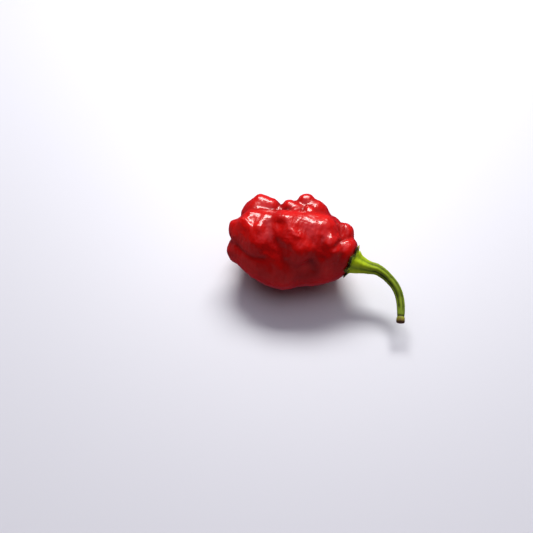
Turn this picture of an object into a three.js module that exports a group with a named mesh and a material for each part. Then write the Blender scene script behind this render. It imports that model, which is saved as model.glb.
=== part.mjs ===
// A ripe red chilli pepper of the short, lumpy kind, as picked, lying on its side.
// Millimetres, +Z up. The origin is the middle of the flat spot that the pod rests on.
// +X runs along the pod from its blossom end to its calyx, and the stem bends towards -Y.
import * as THREE from "three";
import { mergeVertices } from "three/addons/utils/BufferGeometryUtils.js";

// The pod: it is drawn from its middle outwards, and its skin is the outside of all its lobes.
const podMiddle = new THREE.Vector3(0, 0, 14.5);
const podHalf = new THREE.Vector3(21, 16, 15);
const podDetail = 19;
const startRadius = 32;
const marchSteps = 90;
const marchShare = 0.8;

// A lobe is a ball rolled from one place to another, with its radius at each of the two.
// The lobes of one fold run softly into each other, and the folds meet in tighter creases.
const folds = {
  upper: {
    heart: { from: [-6.8, -1.5, 13.3], to: [8.0, 2.4, 13.3], radius: [12.0, 12.0] },
    topRidge: { from: [-2.5, 0.6, 23.8], to: [9.9, 4.4, 21.5], radius: [4.6, 4.6] },
    frontCrest: { from: [-0.4, -1.6, 22.6], to: [3.9, -4.4, 19.9], radius: [5.2, 5.8] },
    frontRight: { from: [8.1, 0.6, 19.2], to: [10.8, 0.4, 18.2], radius: [6.6, 6.6] },
    topLeft: { from: [-12.9, -0.2, 21.4], to: [-8.7, 0.2, 21.8], radius: [4.3, 4.4] },
    leftUpper: { from: [-14.4, -3.2, 19.1], to: [-8.8, -4.8, 20.6], radius: [4.7, 5.0] },
    leftCorner: { from: [-17.9, -2.4, 20.1], to: [-14.0, -3.0, 20.4], radius: [2.1, 2.9] },
  },
  lower: {
    middle: { from: [-6.8, -1.5, 12.6], to: [8.0, 2.0, 12.6], radius: [11.8, 11.8] },
    leftLower: { from: [-13.9, -6.3, 13.9], to: [-7.2, -8.0, 13.6], radius: [5.6, 6.5] },
    belly: { from: [-2.2, -6.4, 12.0], to: [-0.2, -6.3, 12.2], radius: [8.5, 8.7] },
    frontLow: { from: [5.1, -2.9, 11.2], to: [7.0, -2.3, 11.2], radius: [7.8, 7.6] },
    lowerRight: { from: [13.8, -0.5, 12.8], to: [12.0, -1.2, 12.7], radius: [7.0, 7.0] },
    sole: { from: [-6.0, 0.6, 9.0], to: [5.0, 1.0, 9.0], radius: [9.5, 9.3] },
    blossomEnd: { from: [-15.0, 2.5, 12.0], to: [-12.0, 1.5, 12.0], radius: [5.0, 6.0] },
  },
  knob: {
    backKnob: { from: [-12.4, 5.7, 17.6], to: [-11.9, 5.4, 18.0], radius: [6.4, 6.4] },
    knobRim: { from: [-12.8, 8.2, 21.3], to: [-9.2, 8.0, 21.3], radius: [3.2, 3.0] },
    knobFoot: { from: [-12.0, 6.6, 12.5], to: [-8.5, 6.8, 14.0], radius: [6.2, 6.4] },
  },
  shelf: {
    backShelf: { from: [-0.1, 8.3, 18.6], to: [4.6, 10.0, 18.9], radius: [6.2, 6.2] },
  },
  backLow: {
    backFoot: { from: [-5.0, 7.6, 10.6], to: [4.5, 8.6, 10.6], radius: [6.8, 7.2] },
    backSide: { from: [8.0, 7.0, 11.4], to: [11.5, 5.4, 11.8], radius: [6.6, 6.2] },
  },
  crest: {
    leftCrest: { from: [-15.4, -2.3, 23.4], to: [-12.3, -4.5, 24.1], radius: [1.6, 1.6] },
  },
  shoulder: {
    shoulderBack: { from: [16.2, 6.4, 19.1], to: [11.4, 4.2, 17.6], radius: [3.7, 5.2] },
  },
  flank: {
    flankBump: { from: [12.9, -2.2, 19.2], to: [11.0, -3.6, 15.6], radius: [4.6, 6.0] },
  },
  end: {
    neck: { from: [11.4, 0.5, 14.6], to: [17.0, 0.6, 14.7], radius: [6.8, 6.7] },
    shoulderFront: { from: [17.9, 0.9, 17.5], to: [13.6, 0.3, 16.8], radius: [4.8, 5.2] },
  },
};

// Small blisters of the skin: middle and radius.
const blisters = [
  { at: [-2.9, 8.4, 23.0], radius: 2.6 },
  { at: [0.0, 8.0, 23.0], radius: 2.4 },
  { at: [1.8, 12.2, 23.0], radius: 3.0 },
  { at: [5.8, 10.8, 22.6], radius: 2.7 },
  { at: [4.0, 7.4, 24.1], radius: 2.1 },
  { at: [-0.4, 6.2, 23.9], radius: 1.9 },
  { at: [-9.4, 7.2, 21.8], radius: 3.0 },
  { at: [-9.3, -4.2, 23.7], radius: 2.5 },
  { at: [13.3, -1.0, 22.9], radius: 2.3 },
  { at: [15.2, -2.7, 21.5], radius: 2.1 },
  { at: [-5.2, 6.8, 20.2], radius: 3.6 },
  { at: [-9.0, 11.8, 15.5], radius: 2.9 },
  { at: [1.5, 13.5, 14.5], radius: 3.1 },
  { at: [11.4, 9.9, 14.5], radius: 2.7 },
];

// Hollows pressed into the skin: middle and radius of the ball that presses.
const hollows = [
  { at: [9.4, -11.6, 18.0], radius: 3.0 },
  { at: [-4.6, -4.0, 29.4], radius: 2.9 },
  { at: [-21.6, 0.6, 15.0], radius: 2.8 },
  { at: [-3.4, 15.6, 15.0], radius: 3.2 },
  { at: [7.6, 15.0, 16.0], radius: 2.8 },
];

// How sharp the creases are between lobes, between folds and blisters, and round hollows, per millimetre.
const lobeCrease = 1.2;
const foldCrease = 2.4;
const hollowCrease = 1.0;

// The calyx sits on a flat seat at the pod's end. This is the middle of its rim, and the way it faces.
const seatMiddle = new THREE.Vector3(21.5, -0.1, 14.5);
const calyxAxis = new THREE.Vector3(0.98, -0.18, -0.05).normalize();
const seatRise = -0.1;
const seatCrease = 1.5;

// The calyx is a thin ragged collar, drawn from a place inside the neck.
// Its flat crown carries the stem's foot.
const fitGap = 0.3;
const neckDepth = 6.6;
const collarThickness = 0.65;
const collarAngle = 0.64;
const crownRise = 0.7;
const crownAngle = 0.5;
const flareSlope = 7;
const raggedDepth = 0.02;
const raggedWaves = 11;
const collarSides = 72;
const collarRings = 8;

// Teeth round the collar, in radians: the turn of each, from the far side upwards, its half-width and length.
const collarTeeth = [
  { turn: 0.6, halfWidth: 0.24, length: 0.1 },
  { turn: 1.35, halfWidth: 0.35, length: 0.12 },
  { turn: 2.1, halfWidth: 0.4, length: 0.2 },
  { turn: 2.8, halfWidth: 0.35, length: 0.15 },
  { turn: 3.75, halfWidth: 0.26, length: 0.14 },
  { turn: 4.75, halfWidth: 0.28, length: 0.1 },
  { turn: 5.6, halfWidth: 0.3, length: 0.13 },
];

// The stem leaves the crown square to it, then follows these places to its cut end.
const stemLead = 1.2;
const stemPlaces = [
  [27.1, -0.5, 14.1],
  [29.5, -0.2, 13.8],
  [32.0, -0.6, 13.1],
  [34.5, -1.6, 12.2],
  [36.7, -3.0, 11.4],
  [38.5, -4.9, 10.4],
  [39.8, -7.3, 9.4],
  [40.7, -10.2, 8.5],
  [41.4, -13.6, 7.6],
];
// Radius at shares of the stem's length, from the wide foot on the calyx to the cut end.
const stemRadii = [
  [0.0, 3.95],
  [0.02, 3.6],
  [0.05, 3.1],
  [0.085, 2.7],
  [0.14, 2.25],
  [0.21, 1.93],
  [0.3, 1.72],
  [0.41, 1.52],
  [0.56, 1.38],
  [0.72, 1.27],
  [0.9, 1.22],
  [0.925, 1.1],
  [0.945, 1.32],
  [0.985, 1.38],
  [1.0, 1.2],
];
const stemSides = 20;
const stemSteps = 44;
const stemRidges = 5;
const ridgeHeight = 0.09;
const ridgeFade = [0.08, 0.2];

const vector = (xyz) => new THREE.Vector3(...xyz);

const foldList = Object.values(folds).map((lobes) =>
  Object.values(lobes).map(({ from, to, radius }) => ({
    from: vector(from),
    along: vector(to).sub(vector(from)),
    radius,
  })),
);
const blisterList = blisters.map(({ at, radius }) => ({ at: vector(at), radius }));
const hollowList = hollows.map(({ at, radius }) => ({ at: vector(at), radius }));

// The lowest of several distances, rounded where two are close.
function roundedLeast(distances, crease) {
  const least = Math.min(...distances);
  const sum = distances.reduce((total, d) => total + Math.exp(-crease * (d - least)), 0);
  return least - Math.log(sum) / crease;
}

function distanceToLobe(point, { from, along, radius }) {
  const offset = point.clone().sub(from);
  const share = THREE.MathUtils.clamp(offset.dot(along) / along.lengthSq(), 0, 1);
  const nearest = offset.addScaledVector(along, -share);
  return nearest.length() - THREE.MathUtils.lerp(radius[0], radius[1], share);
}

// Distance from a point to the pod's skin, below 0 inside.
function distanceToSkin(point) {
  const toFolds = foldList.map((lobes) =>
    roundedLeast(lobes.map((lobe) => distanceToLobe(point, lobe)), lobeCrease),
  );
  const toBlisters = blisterList.map(({ at, radius }) => point.distanceTo(at) - radius);
  let distance = roundedLeast([...toFolds, ...toBlisters], foldCrease);
  for (const { at, radius } of hollowList) {
    distance = -roundedLeast([-distance, point.distanceTo(at) - radius], hollowCrease);
  }
  const overSeat = point.clone().sub(seatMiddle).dot(calyxAxis) - seatRise;
  return -roundedLeast([-distance, -overSeat], seatCrease);
}

// Where a ray from a place inside the pod comes to a height above the skin.
function reach(start, direction, height = 0) {
  let radius = startRadius;
  for (let step = 0; step < marchSteps; step += 1) {
    const point = start.clone().addScaledVector(direction, radius);
    radius -= marchShare * (distanceToSkin(point) - height);
  }
  return radius;
}

function closed(geometry) {
  geometry.deleteAttribute("normal");
  geometry.deleteAttribute("uv");
  const merged = mergeVertices(geometry, 1e-3);
  merged.computeVertexNormals();
  return merged;
}

function podGeometry() {
  const geometry = new THREE.IcosahedronGeometry(1, podDetail);
  geometry.deleteAttribute("normal");
  geometry.deleteAttribute("uv");
  const ball = mergeVertices(geometry, 1e-5);
  const places = ball.getAttribute("position");
  for (let i = 0; i < places.count; i += 1) {
    const direction = new THREE.Vector3().fromBufferAttribute(places, i).multiply(podHalf).normalize();
    const skin = reach(podMiddle, direction);
    const floor = direction.z < 0 ? podMiddle.z / -direction.z : Infinity;
    const point = podMiddle.clone().addScaledVector(direction, Math.min(skin, floor));
    places.setXYZ(i, point.x, point.y, skin > floor ? 0 : point.z);
  }
  ball.computeVertexNormals();
  return ball;
}

// Two directions square to the calyx axis, and the place inside the neck that the collar is drawn from.
const calyxSide = new THREE.Vector3(0, 0, 1).cross(calyxAxis).normalize();
const calyxUp = calyxAxis.clone().cross(calyxSide).normalize();
const neckMiddle = seatMiddle.clone().addScaledVector(calyxAxis, -neckDepth);

// How far round the neck the collar reaches at a turn, as an angle from its axis.
function collarReach(turn) {
  const teeth = collarTeeth.map(({ turn: at, halfWidth, length }) => {
    const away = Math.abs(Math.atan2(Math.sin(turn - at), Math.cos(turn - at)));
    return length * (1 - THREE.MathUtils.smoothstep(away, 0, halfWidth));
  });
  return collarAngle + Math.max(...teeth) + raggedDepth * Math.sin(raggedWaves * turn);
}

function calyxDirection(turn, angle) {
  return calyxAxis
    .clone()
    .multiplyScalar(Math.cos(angle))
    .addScaledVector(calyxSide, Math.sin(angle) * Math.cos(turn))
    .addScaledVector(calyxUp, Math.sin(angle) * Math.sin(turn));
}

// A ball's rings are folded into the collar: one half is its outside and the other its inside.
function calyxGeometry() {
  const geometry = new THREE.SphereGeometry(1, collarSides, 2 * collarRings);
  const places = geometry.getAttribute("position");
  for (let i = 0; i < places.count; i += 1) {
    const spot = new THREE.Vector3().fromBufferAttribute(places, i);
    const turn = Math.atan2(-spot.z, spot.x);
    const fold = Math.acos(THREE.MathUtils.clamp(spot.y, -1, 1)) / Math.PI;
    const share = 1 - Math.abs(2 * fold - 1);
    const angle = share * collarReach(turn);
    const direction = calyxDirection(turn, angle);
    let radius = reach(neckMiddle, direction, fitGap);
    if (fold <= 0.5) {
      const crown = (neckDepth + crownRise) / Math.cos(Math.min(angle, crownAngle));
      const flare = crown - flareSlope * Math.max(0, angle - crownAngle);
      radius = Math.max(radius + collarThickness, flare);
    }
    const point = neckMiddle.clone().addScaledVector(direction, radius);
    places.setXYZ(i, point.x, point.y, point.z);
  }
  return closed(geometry);
}

function stemRadius(share) {
  const next = Math.max(1, stemRadii.findIndex(([at]) => at >= share));
  const [[from, radiusFrom], [to, radiusTo]] = [stemRadii[next - 1], stemRadii[next]];
  return THREE.MathUtils.lerp(radiusFrom, radiusTo, (share - from) / (to - from));
}

// A cylinder bent along the stem's path, with its section swollen, ridged and turned square to the path.
function stemGeometry() {
  const foot = seatMiddle.clone().addScaledVector(calyxAxis, crownRise + fitGap);
  const lead = foot.clone().addScaledVector(calyxAxis, stemLead);
  const path = new THREE.CatmullRomCurve3([foot, lead, ...stemPlaces.map(vector)]);
  const geometry = new THREE.CylinderGeometry(1, 1, 1, stemSides, stemSteps);
  const places = geometry.getAttribute("position");
  const frames = path.computeFrenetFrames(stemSteps);
  for (let i = 0; i < places.count; i += 1) {
    const spot = new THREE.Vector3().fromBufferAttribute(places, i);
    const share = spot.y + 0.5;
    const step = Math.round(share * stemSteps);
    const turn = Math.atan2(-spot.z, spot.x);
    const fade = THREE.MathUtils.smoothstep(1 - share, ...ridgeFade);
    const ridge = 1 + ridgeHeight * fade * Math.cos(stemRidges * turn);
    const radius = Math.hypot(spot.x, spot.z) * stemRadius(share) * ridge;
    const point = path
      .getPointAt(share)
      .addScaledVector(frames.normals[step], radius * Math.cos(turn))
      .addScaledVector(frames.binormals[step], radius * Math.sin(turn));
    places.setXYZ(i, point.x, point.y, point.z);
  }
  return closed(geometry);
}

const redSkin = new THREE.MeshStandardMaterial({ color: 0xb01512, roughness: 0.25, metalness: 0 });
const darkGreen = new THREE.MeshStandardMaterial({ color: 0x4c5a24, roughness: 0.6, metalness: 0 });
const stemGreen = new THREE.MeshStandardMaterial({ color: 0x7f9d33, roughness: 0.5, metalness: 0 });

function named(name, geometry, material) {
  const mesh = new THREE.Mesh(geometry, material);
  mesh.name = name;
  return mesh;
}

const pepper = new THREE.Group();
pepper.add(named("pod", podGeometry(), redSkin));
pepper.add(named("calyx", calyxGeometry(), darkGreen));
pepper.add(named("stem", stemGeometry(), stemGreen));

export default pepper;
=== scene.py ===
import math

import bmesh
import bpy
import numpy as np
from mathutils import Matrix, Vector, noise


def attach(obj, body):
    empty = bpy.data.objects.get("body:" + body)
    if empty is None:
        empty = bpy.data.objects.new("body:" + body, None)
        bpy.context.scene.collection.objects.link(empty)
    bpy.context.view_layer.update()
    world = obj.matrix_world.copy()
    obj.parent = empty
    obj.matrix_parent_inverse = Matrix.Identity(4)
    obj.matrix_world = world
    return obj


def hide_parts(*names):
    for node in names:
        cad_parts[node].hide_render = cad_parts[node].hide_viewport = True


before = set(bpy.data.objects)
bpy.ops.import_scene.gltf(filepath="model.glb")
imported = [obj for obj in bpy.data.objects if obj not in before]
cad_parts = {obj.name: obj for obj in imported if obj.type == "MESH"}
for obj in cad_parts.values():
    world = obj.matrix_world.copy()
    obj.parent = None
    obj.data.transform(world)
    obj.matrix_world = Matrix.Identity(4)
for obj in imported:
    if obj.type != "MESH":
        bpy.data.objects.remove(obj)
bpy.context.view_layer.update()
mm = 0.001


# Camera, at the photo's angle and framing
cameraView = {
    "elevation": 57.0,  # degrees above the table
    "azimuth": 18.0,
    "place": (28.24, -112.27, 178.97),  # mm
    "focalPixels": 600.0,
    "framePixels": 533.0,
    "sensor": 36.0,  # mm
    "clipStart": 10.0,  # mm
}


def addCamera(settings):
    data = bpy.data.cameras.new("camera")
    data.sensor_width = settings["sensor"]
    data.lens = settings["sensor"] * settings["focalPixels"] / settings["framePixels"]
    data.clip_start = settings["clipStart"] * mm
    camera = bpy.data.objects.new("camera", data)
    bpy.context.scene.collection.objects.link(camera)
    camera.location = Vector(settings["place"]) * mm
    tilt = math.radians(90.0 - settings["elevation"])
    camera.rotation_euler = (tilt, 0.0, math.radians(settings["azimuth"]))
    bpy.context.scene.camera = camera


# Soft studio light, placed in mm: a window-like box above and behind, and a broad pale panel
# overhead, which lights the piece but leaves no reflection
lights = {
    "windowBox": {
        "from": (-70, 290, 390),
        "at": (0, 0, 15),
        "size": (320, 130),
        "power": 3.0,
        "tint": (1, 0.98, 0.96),
        "mirrored": True,
    },
    "skyPanel": {
        "from": (-40, 330, 720),
        "at": (0, 0, 0),
        "size": (1700, 1700),
        "power": 5.9,
        "tint": (0.92, 0.92, 1),
        "mirrored": False,
    },
}


def addLights():
    for name, settings in lights.items():
        data = bpy.data.lights.new(name, "AREA")
        data.shape = "RECTANGLE"
        data.size, data.size_y = [side * mm for side in settings["size"]]
        data.energy = settings["power"]
        data.color = settings["tint"]
        lamp = bpy.data.objects.new(name, data)
        lamp.visible_glossy = settings["mirrored"]
        bpy.context.scene.collection.objects.link(lamp)
        lamp.location = Vector(settings["from"]) * mm
        toward = (Vector(settings["at"]) - Vector(settings["from"])).normalized()
        lamp.rotation_euler = toward.to_track_quat("-Z", "Y").to_euler()


# Studio colours by height: 0 straight down, 0.5 the horizon, 1 straight up
studio = [
    (0.36, (0.13, 0.03, 0.05)),  # a dull red, which keeps the rim of the skin warm
    (0.5, (0.15, 0.12, 0.14)),
    (0.7, (0.03, 0.025, 0.03)),
    (0.92, (0.03, 0.025, 0.03)),
    (1.0, (0.5, 0.38, 0.52)),
]


def addStudio():
    world = bpy.data.worlds.new("studio")
    world.use_nodes = True
    tree = world.node_tree
    coordinates = tree.nodes.new("ShaderNodeTexCoord")
    parts = tree.nodes.new("ShaderNodeSeparateXYZ")
    tree.links.new(coordinates.outputs["Generated"], parts.inputs["Vector"])
    height = mathOf(tree, "MULTIPLY", mathOf(tree, "ADD", parts.outputs["Z"], 1.0), 0.5)
    tree.links.new(ramp(tree, height, studio), tree.nodes["Background"].inputs["Color"])
    bpy.context.scene.world = world
    bpy.context.scene.view_settings.view_transform = "Standard"


# Small helpers for node materials
def newMaterial(name):
    material = bpy.data.materials.new(name)
    material.use_nodes = True
    tree = material.node_tree
    shader = tree.nodes["Principled BSDF"]
    coordinates = tree.nodes.new("ShaderNodeTexCoord")
    return material, tree, shader, coordinates.outputs["Object"]


def mapped(tree, source, scale):
    node = tree.nodes.new("ShaderNodeMapping")
    node.inputs["Scale"].default_value = scale
    tree.links.new(source, node.inputs["Vector"])
    return node.outputs["Vector"]


def noiseOf(tree, source, scale, detail, rough, distortion=0.0):
    node = tree.nodes.new("ShaderNodeTexNoise")
    node.inputs["Scale"].default_value = scale
    node.inputs["Detail"].default_value = detail
    node.inputs["Roughness"].default_value = rough
    node.inputs["Distortion"].default_value = distortion
    tree.links.new(source, node.inputs["Vector"])
    return node.outputs["Fac"]


def ramp(tree, source, stops):
    node = tree.nodes.new("ShaderNodeValToRGB")
    elements = node.color_ramp.elements
    elements[0].position, elements[0].color = stops[0][0], (*stops[0][1], 1)
    elements[1].position, elements[1].color = stops[-1][0], (*stops[-1][1], 1)
    for position, colour in stops[1:-1]:
        elements.new(position).color = (*colour, 1)
    tree.links.new(source, node.inputs["Fac"])
    return node.outputs["Color"]


def mathOf(tree, operation, first, second):
    node = tree.nodes.new("ShaderNodeMath")
    node.operation = operation
    for socket, value in zip(node.inputs, (first, second)):
        if isinstance(value, (int, float)):
            socket.default_value = value
        else:
            tree.links.new(value, socket)
    return node.outputs["Value"]


def mixColour(tree, share, first, second):
    node = tree.nodes.new("ShaderNodeMix")
    node.data_type = "RGBA"
    for name, source in (("Factor", share), ("A", first), ("B", second)):
        tree.links.new(source, next(s for s in node.inputs if s.name == name and s.enabled))
    return next(s for s in node.outputs if s.enabled)


def bump(tree, height, strength, distance, before=None):
    node = tree.nodes.new("ShaderNodeBump")
    node.inputs["Strength"].default_value = strength
    node.inputs["Distance"].default_value = distance
    tree.links.new(height, node.inputs["Height"])
    if before is not None:
        tree.links.new(before, node.inputs["Normal"])
    return node.outputs["Normal"]


def attributeOf(tree, name, output="Fac"):
    node = tree.nodes.new("ShaderNodeAttribute")
    node.attribute_name = name
    return node.outputs[output]


def setSurface(shader, surface):
    for socket, value in surface.items():
        shader.inputs[socket].default_value = value


def finishPiece(shape, name, material, node):
    mesh = bpy.data.meshes.new(name)
    shape.to_mesh(mesh)
    shape.free()
    for face in mesh.polygons:
        face.use_smooth = True
    mesh.materials.append(material)
    piece = bpy.data.objects.new(name, mesh)
    bpy.context.scene.collection.objects.link(piece)
    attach(piece, "root")
    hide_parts(node)
    print(f"{name}: {len(mesh.polygons)} faces")


def smoothStep(low, high, value):
    share = np.clip((value - low) / (high - low), 0, 1)
    return share * share * (3 - 2 * share)


# The pod's shape, in mm, drawn from its middle outwards until each point meets the skin
podShape = {
    "middle": (0, 0, 14.5),
    "half": (21, 16, 15),
    "levels": 7,
    "startRadius": 32.0,
    "marchSteps": 120,
    "marchShare": 0.8,  # of the distance that is left
    "nearEnough": 0.002,
    "level": 1e-6,  # a direction flatter than this doesn't meet the table
    "lobeCrease": 1.2,  # how tight each kind of crease is, per mm
    "foldCrease": 2.4,
    "hollowCrease": 1.0,
    "seatCrease": 1.5,
    "seatMiddle": (21.5, -0.1, 14.5),  # the calyx's flat seat
    "seatAxis": (0.98, -0.18, -0.05),
    "seatRise": -0.1,
}

seatMiddle = Vector(podShape["seatMiddle"])
seatAxis = Vector(podShape["seatAxis"]).normalized()
seatSide = Vector((0, 0, 1)).cross(seatAxis).normalized()
seatUp = seatAxis.cross(seatSide).normalized()

# Lobes, each a ball rolled from one place to another: both places, and the radius at each.
# The lobes of one fold run softly into each other, and the folds meet in tighter creases.
folds = {
    "upper": [
        ((-6.8, -1.5, 13.3), (8.0, 2.4, 13.3), 12.0, 12.0),  # heart
        ((-2.5, 0.6, 23.8), (9.9, 4.4, 21.5), 4.6, 4.6),  # top ridge
        ((-0.4, -1.6, 22.6), (3.9, -4.4, 19.9), 5.2, 5.8),  # front crest
        ((8.1, 0.6, 19.2), (10.8, 0.4, 18.2), 6.6, 6.6),  # front right
        ((-12.9, -0.2, 21.4), (-8.7, 0.2, 21.8), 4.3, 4.4),  # top left
        ((-14.4, -3.2, 19.1), (-8.8, -4.8, 20.6), 4.7, 5.0),  # left upper
        ((-17.9, -2.4, 20.1), (-14.0, -3.0, 20.4), 2.1, 2.9),  # left corner
    ],
    "lower": [
        ((-6.8, -1.5, 12.6), (8.0, 2.0, 12.6), 11.8, 11.8),  # middle
        ((-13.9, -6.3, 13.9), (-7.2, -8.0, 13.6), 5.6, 6.5),  # left lower
        ((-2.2, -6.4, 12.0), (-0.2, -6.3, 12.2), 8.5, 8.7),  # belly
        ((5.1, -2.9, 11.2), (7.0, -2.3, 11.2), 7.8, 7.6),  # front low
        ((13.8, -0.5, 12.8), (12.0, -1.2, 12.7), 7.0, 7.0),  # lower right
        ((-6.0, 0.6, 9.0), (5.0, 1.0, 9.0), 9.5, 9.3),  # sole
        ((-15.0, 2.5, 12.0), (-12.0, 1.5, 12.0), 5.0, 6.0),  # blossom end
    ],
    "knob": [
        ((-12.4, 5.7, 17.6), (-11.9, 5.4, 18.0), 6.4, 6.4),  # back knob
        ((-12.8, 8.2, 21.3), (-9.2, 8.0, 21.3), 3.2, 3.0),  # knob rim
        ((-12.0, 6.6, 12.5), (-8.5, 6.8, 14.0), 6.2, 6.4),  # knob foot
    ],
    "shelf": [
        ((-0.1, 8.3, 18.6), (4.6, 10.0, 18.9), 6.2, 6.2),  # back shelf
    ],
    "backLow": [
        ((-5.0, 7.6, 10.6), (4.5, 8.6, 10.6), 6.8, 7.2),  # back foot
        ((8.0, 7.0, 11.4), (11.5, 5.4, 11.8), 6.6, 6.2),  # back side
    ],
    "crest": [
        ((-15.4, -2.3, 23.4), (-12.3, -4.5, 24.1), 1.6, 1.6),  # left crest
    ],
    "shoulder": [
        ((16.2, 6.4, 19.1), (11.4, 4.2, 17.6), 3.7, 5.2),  # shoulder back
    ],
    "flank": [
        ((12.9, -2.2, 19.2), (11.0, -3.6, 15.6), 4.6, 6.0),  # flank bump
    ],
    "end": [
        ((11.4, 0.5, 14.6), (17.0, 0.6, 14.7), 6.8, 6.7),  # neck
        ((17.9, 0.9, 17.5), (13.6, 0.3, 16.8), 4.8, 5.2),  # shoulder front
    ],
}

# Balls that swell the skin: middle and radius
blisters = [
    ((-2.9, 8.4, 23.0), 2.6),
    ((0.0, 8.0, 23.0), 2.4),
    ((1.8, 12.2, 23.0), 3.0),
    ((5.8, 10.8, 22.6), 2.7),
    ((4.0, 7.4, 24.1), 2.1),
    ((-0.4, 6.2, 23.9), 1.9),
    ((-9.4, 7.2, 21.8), 3.0),
    ((-9.3, -4.2, 23.7), 2.5),
    ((13.3, -1.0, 22.9), 2.3),
    ((15.2, -2.7, 21.5), 2.1),
    ((-5.2, 6.8, 20.2), 3.6),
    ((-9.0, 11.8, 15.5), 2.9),
    ((1.5, 13.5, 14.5), 3.1),
    ((11.4, 9.9, 14.5), 2.7),
]

# Balls pressed into the skin: middle and radius
hollows = [
    ((9.4, -11.6, 18.0), 3.0),
    ((-4.6, -4.0, 29.4), 2.9),
    ((-21.6, 0.6, 15.0), 2.8),
    ((-3.4, 15.6, 15.0), 3.2),
    ((7.6, 15.0, 16.0), 2.8),
]


# The least of several distances, rounded where two are close
def roundedLeast(distances, crease):
    least = distances.min(axis=0)
    return least - np.log(np.exp(-crease * (distances - least)).sum(axis=0)) / crease


def toLobe(points, lobe):
    start, end, first, last = lobe
    along = np.subtract(end, start)
    offset = points - np.array(start)
    share = np.clip(offset @ along / (along @ along), 0, 1)
    return np.linalg.norm(offset - share[:, None] * along, axis=1) - (first + (last - first) * share)


def toBall(points, ball):
    middle, radius = ball
    return np.linalg.norm(points - np.array(middle), axis=1) - radius


def pastSeat(points):
    return (points - np.array(podShape["seatMiddle"])) @ np.array(seatAxis)


# Distance from each point to the pod's skin, negative inside it
def toSkin(points):
    distances = [
        roundedLeast(np.stack([toLobe(points, lobe) for lobe in lobes]), podShape["lobeCrease"])
        for lobes in folds.values()
    ]
    distances += [toBall(points, blister) for blister in blisters]
    distance = roundedLeast(np.stack(distances), podShape["foldCrease"])
    for hollow in hollows:
        pressed = np.stack([-distance, toBall(points, hollow)])
        distance = -roundedLeast(pressed, podShape["hollowCrease"])
    overSeat = pastSeat(points) - podShape["seatRise"]
    return -roundedLeast(np.stack([-distance, -overSeat]), podShape["seatCrease"])


# How far from a place inside the pod its skin lies in each direction
def reachSkin(start, directions, height=0.0):
    radii = np.full(len(directions), podShape["startRadius"])
    live = np.arange(len(directions))
    for _ in range(podShape["marchSteps"]):
        points = start + directions[live] * radii[live, None]
        gap = toSkin(points) - height
        radii[live] -= podShape["marchShare"] * gap
        live = live[np.abs(gap) > podShape["nearEnough"]]
        if not len(live):
            break
    return radii


# Fine relief of the skin, in mm: a slow warp, small lumps, wrinkles round the pod and a fine grain
podRelief = {
    "warp": {"amount": 0.3, "scale": 0.24, "shifts": [(31.4, 0, 0), (0, 47.2, 0), (0, 0, 15.3)]},
    "lumps": {"amount": 0.2, "scale": 0.33},
    "wrinkles": {"amount": 0.09, "scale": (0.8, 0.22, 0.22), "octaves": 3},
    "grain": {"amount": 0.05, "scale": 0.9, "octaves": 2},
    "octaveStep": (1.0, 2.0),  # how much fainter and how much finer each octave is
    "probe": 1.5,  # height at which the creases are felt, for the painted shade that darkens their red
    # how strongly a crease's depth turns into painted shade
    "dipShade": 2.2,
    "calyxFade": (-4.0, -1.2),  # along the calyx axis, from its rim
    "seed": 11.7,
}

# Single creases and ridges of the skin: their places, width, and height above or below it, in mm
podMarks = {
    "mainCrease": (
        [(-15.7, -8.8, 19.2), (-11.7, -11.2, 19.6), (-8.5, -12.0, 19.9), (-5.5, -11.9, 20.1)],
        0.8,
        -0.32,
    ),
    "bodyAndShoulder": ([(13.7, 7.0, 23.9), (15.0, 5.0, 23.7), (16.1, 2.8, 23.2)], 0.7, -0.4),
    "shoulderNotch": ([(12.4, 8.6, 23.0), (13.7, 7.0, 23.9)], 0.7, -0.4),
    "shoulders": (
        [(18.8, 3.9, 21.8), (17.7, 2.7, 22.4), (16.6, 1.0, 23.0), (15.8, -1.4, 23.6), (15.3, -3.1, 23.3)],
        0.7,
        -0.45,
    ),
    "flankValley": ([(10.9, -2.0, 25.1), (12.1, -4.7, 23.3), (12.6, -6.3, 21.7)], 1.1, -0.35),
    "topDimple": ([(2.1, 0.9, 27.9), (2.6, 0.8, 27.9)], 1.3, -0.2),
    "faceLump": ([(2.2, -3.9, 27.0), (3.0, -4.1, 26.7)], 1.6, 0.4),
    "faceRidge": ([(1.1, -3.2, 27.5), (2.9, -3.3, 26.9)], 0.5, 0.14),
    "faceRidgeLow": ([(2.0, -4.3, 27.0), (3.8, -4.4, 26.3)], 0.5, 0.14),
    "leftRidge": ([(-15.9, -2.1, 24.8), (-14.0, -2.9, 25.5), (-12.0, -4.6, 25.3)], 0.6, 0.25),
    "leftLump": ([(-9.6, -4.3, 25.9), (-9.0, -4.5, 25.9)], 1.2, 0.25),
    "leftEdge": ([(-14.1, 0.6, 25.5), (-11.7, 1.1, 25.8)], 0.8, 0.2),
    "backWrinkle": ([(16.2, 7.0, 23.0), (17.6, 4.7, 22.8)], 0.6, -0.2),
    "flankLumpA": ([(15.2, -0.3, 24.1), (15.5, -0.8, 24.0)], 0.9, 0.25),
    "flankLumpB": ([(13.3, -2.7, 24.3), (13.6, -3.2, 24.1)], 0.9, 0.25),
    "frontPit": ([(8.9, -8.0, 19.7), (10.6, -8.6, 16.7)], 1.2, -0.4),
    "leftCorner": ([(-19.2, -3.0, 21.8), (-18.8, -5.2, 19.8)], 1.8, 0.5),
    "lowNotch": ([(-14.0, -11.0, 10.0), (-10.0, -12.8, 7.5)], 2.4, -0.9),
    "bellyRidge": ([(-3.6, -12.8, 18.4), (-1.6, -14.8, 14.0)], 1.2, 0.2),
    "bellyCrease": ([(0.8, -10.8, 20.0), (2.7, -14.3, 14.2)], 1.0, -0.2),
}


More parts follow.
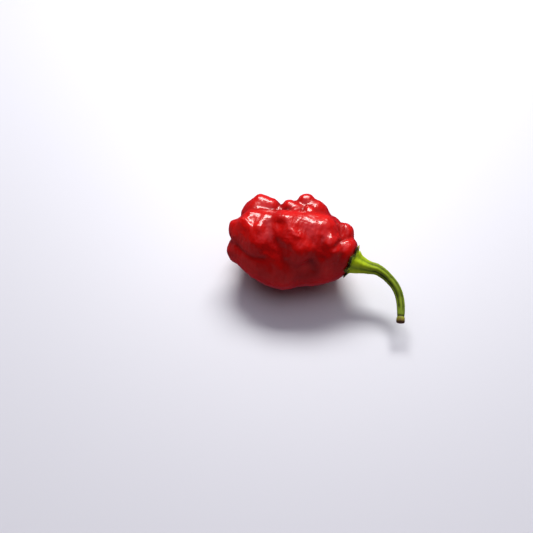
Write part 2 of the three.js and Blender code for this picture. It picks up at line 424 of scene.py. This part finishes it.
def warpAt(point):
    warp = podRelief["warp"]
    place = point * warp["scale"]
    return Vector([noise.noise(place + Vector(shift)) for shift in warp["shifts"]]) * warp["amount"]


def reliefAt(point):
    shift = Vector((podRelief["seed"], 0, 0))
    step = podRelief["octaveStep"]
    lumps = podRelief["lumps"]
    wrinkles = podRelief["wrinkles"]
    grain = podRelief["grain"]
    stretched = Vector([c * s for c, s in zip(point, wrinkles["scale"])])
    height = lumps["amount"] * noise.noise(point * lumps["scale"] + shift)
    height += wrinkles["amount"] * noise.fractal(stretched + shift, *step, wrinkles["octaves"])
    height += grain["amount"] * noise.fractal(point * grain["scale"] - shift, *step, grain["octaves"])
    return height


def marksAt(points):
    height = np.zeros(len(points))
    for places, width, amount in podMarks.values():
        pieces = [toLobe(points, (start, end, 0, 0)) for start, end in zip(places, places[1:])]
        height += amount * np.exp(-((np.min(pieces, axis=0) / width) ** 2))
    return height


# The skin's reds by a slow cloud, on its lobes and, as painted shade, darker deep in its creases, its
# fine bumps and its gloss
podFinish = {
    "cloud": {"scale": 120.0, "detail": 3.0, "rough": 0.55},
    "base": [(0.3, (0.48, 0.0004, 0.0006)), (0.7, (0.66, 0.003, 0.0008))],
    # darker reds: painted shade for the skin's creases
    "creaseShadeReds": [(0.3, (0.16, 0.0002, 0.0005)), (0.7, (0.22, 0.0004, 0.0006))],
    "streakStretch": (900, 160, 160),
    "streaks": {"scale": 1.0, "detail": 3.0, "rough": 0.5, "distortion": 0.5},
    "streakBump": {"strength": 0.3, "distance": 0.0006},
    "grain": {"scale": 900.0, "detail": 2.0, "rough": 0.5},
    "grainBump": {"strength": 0.2, "distance": 0.0006},
    "surface": {
        "Roughness": 0.31,
        "IOR": 1.4,
        "Subsurface Weight": 0.12,
        "Subsurface Radius": (1.0, 0.05, 0.03),
        "Subsurface Scale": 0.002,
        "Coat Weight": 0.4,
        "Coat Roughness": 0.09,
    },
}


def redSkin():
    material, tree, shader, place = newMaterial("redSkin")
    cloud = noiseOf(tree, place, **podFinish["cloud"])
    base = ramp(tree, cloud, podFinish["base"])
    creaseShadeReds = ramp(tree, cloud, podFinish["creaseShadeReds"])
    # the creases take the darker reds: painted shade
    tree.links.new(mixColour(tree, attributeOf(tree, "paintedCreaseShade"), base, creaseShadeReds), shader.inputs["Base Color"])
    stretched = mapped(tree, place, podFinish["streakStretch"])
    streaks = noiseOf(tree, stretched, **podFinish["streaks"])
    grain = noiseOf(tree, place, **podFinish["grain"])
    normal = bump(tree, streaks, **podFinish["streakBump"])
    normal = bump(tree, grain, **podFinish["grainBump"], before=normal)
    tree.links.new(normal, shader.inputs["Normal"])
    setSurface(shader, podFinish["surface"])
    return material


# The points of the skin, and which of them rest on the table
def podPoints(shape):
    directions = np.array([v.co[:] for v in shape.verts]) * podShape["half"]
    directions /= np.linalg.norm(directions, axis=1)[:, None]
    middle = np.array(podShape["middle"], float)
    radii = reachSkin(middle, directions)
    floor = middle[2] / np.maximum(-directions[:, 2], podShape["level"])
    rests = radii > floor
    points = middle + directions * np.minimum(radii, floor)[:, None]
    points[rests, 2] = 0
    return points, rests


# How deep in a crease each point lies, from 0 to 1, which sets the painted shade of the skin there
def creaseShadesAt(shape, points, marks):
    probe = podRelief["probe"]
    above = points + probe * np.array([vertex.normal[:] for vertex in shape.verts])
    felt = podRelief["dipShade"] * (probe - toSkin(above)) / probe
    return np.clip(felt - np.minimum(marks, 0), 0, 1)


def makePod():
    shape = bmesh.new()
    bmesh.ops.create_icosphere(shape, subdivisions=podShape["levels"], radius=1.0)
    points, rests = podPoints(shape)
    for vertex, point in zip(shape.verts, points):
        vertex.co = point
    shape.normal_update()
    marks = marksAt(points)
    creaseShades = creaseShadesAt(shape, points, marks)
    creaseShades[rests] = 0
    # crease depth of each point, kept for the painted shade of the skin's red
    paintedShadeLayer = shape.verts.layers.float.new("paintedCreaseShade")
    fades = 1 - smoothStep(*podRelief["calyxFade"], pastSeat(points))
    moves = []
    for vertex, mark, fade in zip(shape.verts, marks, fades):
        lift = vertex.normal * (reliefAt(vertex.co) + float(mark))
        moves.append((warpAt(vertex.co) + lift) * float(fade))
    for vertex, move, resting, paintedCreaseShade in zip(shape.verts, moves, rests, creaseShades):
        vertex[paintedShadeLayer] = paintedCreaseShade
        if not resting:
            vertex.co += move
            vertex.co.z = max(vertex.co.z, 0)
        vertex.co *= mm
    finishPiece(shape, "podSkin", redSkin(), "pod")


# The calyx: a ragged collar folded from a ball's rings, drawn from a place inside the neck
calyxShape = {
    "neckDepth": 6.6,
    "gap": 0.05,
    "thickness": 0.6,
    "angle": 0.64,
    "crownRise": 0.7,
    "crownAngle": 0.5,
    "flareSlope": 7,
    "wrinkle": {"height": 0.16, "scale": 14, "rimFade": 4},
    "sides": 288,
    "rings": 24,
    "waves": {"count": 11, "depth": 0.02},
    "ragged": [(0.09, 3.5, 4), (0.6 * 0.09, 9, 9)],  # depth in radians, scale, shift
    "pale": [  # turn and half-width in radians, amount
        (0.55, 0.5, 0.8),
        (1.9, 0.35, 0.25),
        (2.9, 0.3, 0.3),
        (4.9, 0.5, 0.4),
    ],
    "teeth": [  # turn from the far side upwards, half-width and length, in radians
        (0.6, 0.24, 0.1),
        (1.35, 0.35, 0.12),
        (2.1, 0.4, 0.2),
        (2.8, 0.35, 0.15),
        (3.75, 0.26, 0.14),
        (4.75, 0.28, 0.1),
        (5.6, 0.3, 0.13),
    ],
}

def turnsApart(first, last):
    return abs(math.atan2(math.sin(first - last), math.cos(first - last)))


# How far over the neck the collar reaches at a turn, as an angle from its axis
def collarReach(turn):
    longest = max(
        length * (1 - smoothStep(0, halfWidth, turnsApart(turn, at)))
        for at, halfWidth, length in calyxShape["teeth"]
    )
    around = Vector((math.cos(turn), math.sin(turn), 0))
    ragged = calyxShape["waves"]["depth"] * math.sin(calyxShape["waves"]["count"] * turn)
    for depth, scale, shift in calyxShape["ragged"]:
        ragged += depth * noise.noise(around * scale + Vector((0, 0, shift)))
    return calyxShape["angle"] + longest + ragged


def palenessAt(turn):
    return max(
        amount * (1 - min(turnsApart(turn, at) / halfWidth, 1.0))
        for at, halfWidth, amount in calyxShape["pale"]
    )


# The calyx's greens and browns from its crown to its rim, and the brighter ones of its pale parts
calyxFinish = {
    "patches": {"scale": 900.0, "detail": 3.0, "rough": 0.6, "distortion": 0.4},
    "patchShare": 0.9,
    "dark": [
        (0.68, (0.46, 0.60, 0.015)),
        (0.8, (0.26, 0.38, 0.015)),
        (0.87, (0.045, 0.055, 0.008)),
        (0.94, (0.012, 0.009, 0.005)),
        (1.0, (0.05, 0.035, 0.012)),
    ],
    "bright": [
        (0.35, (0.12, 0.18, 0.01)),
        (0.5, (0.34, 0.43, 0.03)),
        (0.65, (0.54, 0.60, 0.12)),
    ],
    "bump": {"strength": 0.8, "distance": 0.0005},
    "surface": {"Roughness": 0.6, "IOR": 1.3},
}


def calyxGreen():
    material, tree, shader, place = newMaterial("calyxGreen")
    patches = noiseOf(tree, place, **calyxFinish["patches"])
    centred = mathOf(tree, "SUBTRACT", patches, 0.5)
    uneven = mathOf(tree, "MULTIPLY", centred, calyxFinish["patchShare"])
    dark = ramp(tree, mathOf(tree, "ADD", attributeOf(tree, "edge"), uneven), calyxFinish["dark"])
    bright = ramp(tree, patches, calyxFinish["bright"])
    tree.links.new(mixColour(tree, attributeOf(tree, "pale"), dark, bright), shader.inputs["Base Color"])
    tree.links.new(bump(tree, patches, **calyxFinish["bump"]), shader.inputs["Normal"])
    setSurface(shader, calyxFinish["surface"])
    return material


# The collar's outside: over the skin, and level across the crown that carries the stem
def collarTop(direction, radius, angle, share):
    crownAngle, wrinkle = calyxShape["crownAngle"], calyxShape["wrinkle"]
    crown = (calyxShape["neckDepth"] + calyxShape["crownRise"]) / math.cos(min(angle, crownAngle))
    flare = crown - calyxShape["flareSlope"] * max(0.0, angle - crownAngle)
    fade = min(1.0, wrinkle["rimFade"] * (1 - share))
    ripple = wrinkle["height"] * noise.noise(Vector(direction) * wrinkle["scale"]) * fade * share
    return max(radius + calyxShape["thickness"], flare) + ripple


# The upper half of the ball becomes the collar's outside, and the lower half its inside
def makeCalyx():
    sides, rings = calyxShape["sides"], calyxShape["rings"]
    shape = bmesh.new()
    bmesh.ops.create_uvsphere(shape, u_segments=sides, v_segments=2 * rings, radius=1.0)
    inside = seatMiddle - seatAxis * calyxShape["neckDepth"]
    directions, places = [], []
    for vertex in shape.verts:
        turn = math.atan2(vertex.co.y, vertex.co.x)
        descent = math.acos(max(-1.0, min(1.0, vertex.co.z))) / math.pi
        share = 1 - abs(2 * descent - 1)
        angle = share * collarReach(turn)
        around = seatSide * math.cos(turn) + seatUp * math.sin(turn)
        directions.append((seatAxis * math.cos(angle) + around * math.sin(angle))[:])
        places.append((turn, descent, share, angle))
    directions = np.array(directions)
    radii = reachSkin(np.array(inside), directions, calyxShape["gap"])
    edgeLayer = shape.verts.layers.float.new("edge")
    paleLayer = shape.verts.layers.float.new("pale")
    for vertex, direction, radius, place in zip(shape.verts, directions, radii, places):
        turn, descent, share, angle = place
        if descent <= 0.5:
            radius = collarTop(direction, radius, angle, share)
        vertex.co = (inside + Vector(direction) * radius) * mm
        vertex[edgeLayer] = share
        vertex[paleLayer] = palenessAt(turn) * share
    bmesh.ops.recalc_face_normals(shape, faces=shape.faces)
    finishPiece(shape, "calyxCollar", calyxGreen(), "calyx")


# The stem: rings along a curve, with ridges, a wide foot and a swollen cut end
stemShape = {
    "lead": 1.2,
    "gap": 0.1,
    "places": [
        (27.1, -0.5, 14.1),
        (29.5, -0.2, 13.8),
        (32.0, -0.6, 13.1),
        (34.5, -1.6, 12.2),
        (36.7, -3.0, 11.4),
        (38.5, -4.9, 10.4),
        (39.8, -7.3, 9.4),
        (40.7, -10.2, 8.5),
        (41.4, -13.6, 7.6),
    ],
    "radii": [  # share of the length, radius
        (0.0, 3.95),
        (0.02, 3.6),
        (0.05, 3.1),
        (0.085, 2.7),
        (0.14, 2.25),
        (0.21, 1.93),
        (0.3, 1.72),
        (0.41, 1.52),
        (0.56, 1.38),
        (0.72, 1.27),
        (0.9, 1.22),
        (0.925, 1.1),
        (0.945, 1.32),
        (0.985, 1.38),
        (1.0, 1.2),
    ],
    "sides": 96,
    "steps": 260,
    "curveSteps": 24,  # between two places
    "ridges": 5,
    "ridgeHeight": 0.09,
    "ridgeTurn": 0.45,
    "ridgeFade": (0.8, 0.92),
    "foot": {"ragged": 0.16, "scale": 2.5, "fade": 0.06},
    "stripeLength": 3,
}


def blend(first, last, start, end, at):
    return first * ((end - at) / (end - start)) + last * ((at - start) / (end - start))


# A smooth curve through the places, in even steps
def curveThrough(places, steps):
    full = [places[0] * 2 - places[1], *places, places[-1] * 2 - places[-2]]
    curveSteps = stemShape["curveSteps"]
    fine = []
    for i in range(1, len(full) - 2):
        p0, p1, p2, p3 = full[i - 1:i + 3]
        t1 = math.sqrt((p1 - p0).length)
        t2 = t1 + math.sqrt((p2 - p1).length)
        t3 = t2 + math.sqrt((p3 - p2).length)
        for k in range(curveSteps):
            t = t1 + (t2 - t1) * k / curveSteps
            a1 = blend(p0, p1, 0, t1, t)
            a2 = blend(p1, p2, t1, t2, t)
            a3 = blend(p2, p3, t2, t3, t)
            b1 = blend(a1, a2, 0, t2, t)
            b2 = blend(a2, a3, t1, t3, t)
            fine.append(blend(b1, b2, t1, t2, t))
    fine.append(places[-1])
    reach = np.concatenate([[0], np.cumsum([(b - a).length for a, b in zip(fine, fine[1:])])])
    wanted = np.linspace(0, reach[-1], steps + 1)
    columns = [np.interp(wanted, reach, [p[axis] for p in fine]) for axis in range(3)]
    return [Vector(p) for p in zip(*columns)]


def stemRadius(share):
    shares, radii = zip(*stemShape["radii"])
    return float(np.interp(share, shares, radii))


# The stem's colours along its length, on its ridges, with painted shade in its grooves, and its stripes
# and mottles
stemFinish = {
    "bright": [
        (0.0, (0.52, 0.68, 0.007)),
        (0.12, (0.45, 0.59, 0.009)),
        (0.3, (0.27, 0.38, 0.016)),
        (0.9, (0.22, 0.31, 0.022)),
        (0.925, (0.04, 0.045, 0.01)),
        (0.94, (0.34, 0.38, 0.04)),
        (0.965, (0.26, 0.22, 0.03)),
        (0.99, (0.09, 0.05, 0.016)),
    ],
    "dark": [
        (0.0, (0.24, 0.36, 0.01)),
        (0.12, (0.15, 0.23, 0.008)),
        (0.25, (0.035, 0.055, 0.005)),
        (0.9, (0.035, 0.055, 0.006)),
        (0.925, (0.02, 0.02, 0.005)),
        (0.945, (0.10, 0.09, 0.012)),
        (0.985, (0.03, 0.015, 0.006)),
    ],
    # the grooves' darkening is painted shade
    "groovePower": 3.0,
    "shares": {"groove": 0.65, "stripes": 0.3, "mottle": 0.28},
    "limits": {"stripes": (0.38, 0.62), "mottle": (0.48, 0.62)},
    "stripeStretch": (3.5, 3.5, 1.2),
    "stripes": {"scale": 1.0, "detail": 4.0, "rough": 0.65},
    "stripeBump": {"strength": 0.5, "distance": 0.0004},
    "mottle": {"scale": 420.0, "detail": 3.0, "rough": 0.6, "distortion": 0.6},
    "speckle": {"scale": 700.0, "detail": 3.0, "rough": 0.6},
    "speckleBump": {"strength": 0.35, "distance": 0.0003},
    "surface": {"Roughness": 0.46, "IOR": 1.28},
}


def stemGreen():
    material, tree, shader, place = newMaterial("stemGreen")
    along = attributeOf(tree, "along")
    bright = ramp(tree, along, stemFinish["bright"])
    dark = ramp(tree, along, stemFinish["dark"])
    stretched = mapped(tree, attributeOf(tree, "around", "Vector"), stemFinish["stripeStretch"])
    stripes = noiseOf(tree, stretched, **stemFinish["stripes"])
    mottle = noiseOf(tree, place, **stemFinish["mottle"])
    speckle = noiseOf(tree, place, **stemFinish["speckle"])
    # painted shade in the grooves, plus darker stripes and mottles of the stem's own colour
    deepest = mathOf(tree, "POWER", attributeOf(tree, "groove"), stemFinish["groovePower"])
    grooveShadeAndPatches = mathOf(tree, "MULTIPLY", deepest, stemFinish["shares"]["groove"])
    for name, source in (("stripes", stripes), ("mottle", mottle)):
        low, high = stemFinish["limits"][name]
        sharper = ramp(tree, source, [(low, (0, 0, 0)), (high, (1, 1, 1))])
        darker = mathOf(tree, "MULTIPLY", sharper, stemFinish["shares"][name])
        grooveShadeAndPatches = mathOf(tree, "ADD", grooveShadeAndPatches, darker)
    tree.links.new(mixColour(tree, grooveShadeAndPatches, bright, dark), shader.inputs["Base Color"])
    normal = bump(tree, stripes, **stemFinish["stripeBump"])
    normal = bump(tree, speckle, **stemFinish["speckleBump"], before=normal)
    tree.links.new(normal, shader.inputs["Normal"])
    setSurface(shader, stemFinish["surface"])
    return material


def makeStem():
    foot = seatMiddle + seatAxis * (calyxShape["crownRise"] + stemShape["gap"])
    lead = foot + seatAxis * stemShape["lead"]
    places = [foot, lead, *[Vector(p) for p in stemShape["places"]]]
    path = curveThrough(places, stemShape["steps"])
    shape = bmesh.new()
    alongLayer = shape.verts.layers.float.new("along")
    grooveLayer = shape.verts.layers.float.new("groove")
    aroundLayer = shape.verts.layers.float_vector.new("around")
    footing = stemShape["foot"]
    side = seatSide.copy()
    previous = None
    for step, middle in enumerate(path):
        share = step / stemShape["steps"]
        ahead = path[min(step + 1, len(path) - 1)] - path[max(step - 1, 0)]
        ahead.normalize()
        side = (side - ahead * side.dot(ahead)).normalized()
        up = ahead.cross(side)
        turned = Matrix((side, up, ahead)).transposed().to_4x4()
        turned.translation = middle
        circle = bmesh.ops.create_circle(shape, segments=stemShape["sides"], radius=1.0, matrix=turned)
        ring = circle["verts"]
        fade = 1 - float(smoothStep(*stemShape["ridgeFade"], share))
        footShare = max(0, 1 - share / footing["fade"])
        for vertex in ring:
            offset = vertex.co - middle
            turn = math.atan2(offset.dot(up), offset.dot(side))
            around = Vector((math.cos(turn), math.sin(turn), 0))
            ridge = math.cos(stemShape["ridges"] * (turn + stemShape["ridgeTurn"]))
            ragged = noise.noise(footing["scale"] * around) * footShare
            swell = 1 + stemShape["ridgeHeight"] * fade * ridge + footing["ragged"] * ragged
            vertex.co = middle + offset * stemRadius(share) * swell
            vertex[alongLayer] = share
            # groove depth, which drives the painted shade in the grooves
            vertex[grooveLayer] = fade * (0.5 - 0.5 * ridge)
            vertex[aroundLayer] = (around.x, around.y, stemShape["stripeLength"] * share)
        edges = list(dict.fromkeys(edge for vertex in ring for edge in vertex.link_edges))
        if previous:
            bmesh.ops.bridge_loops(shape, edges=previous + edges)
        previous = edges
    openEnds = [edge for edge in shape.edges if edge.is_boundary]
    bmesh.ops.holes_fill(shape, edges=openEnds, sides=0)
    bmesh.ops.recalc_face_normals(shape, faces=shape.faces)
    bmesh.ops.scale(shape, verts=shape.verts, vec=(mm, mm, mm))
    finishPiece(shape, "stemStalk", stemGreen(), "stem")


# The pale table top that it lies on, in mm, just under its flat spot
table = {
    "size": 9000.0,
    "drop": 0.05,
    "surface": {"Base Color": (0.63, 0.645, 0.69, 1), "Roughness": 0.5},
}


def makeTable():
    shape = bmesh.new()
    bmesh.ops.create_grid(shape, x_segments=1, y_segments=1, size=table["size"] * mm / 2)
    bmesh.ops.translate(shape, verts=shape.verts, vec=(0, 0, -table["drop"] * mm))
    mesh = bpy.data.meshes.new("tableTop")
    shape.to_mesh(mesh)
    shape.free()
    material, _, shader, _ = newMaterial("tablePale")
    setSurface(shader, table["surface"])
    mesh.materials.append(material)
    floor = bpy.data.objects.new("tableTop", mesh)
    bpy.context.scene.collection.objects.link(floor)
    floor.visible_glossy = False


addCamera(cameraView)
addLights()
addStudio()
makeTable()
print("camera, lights and table are in place")
makePod()
makeCalyx()
makeStem()
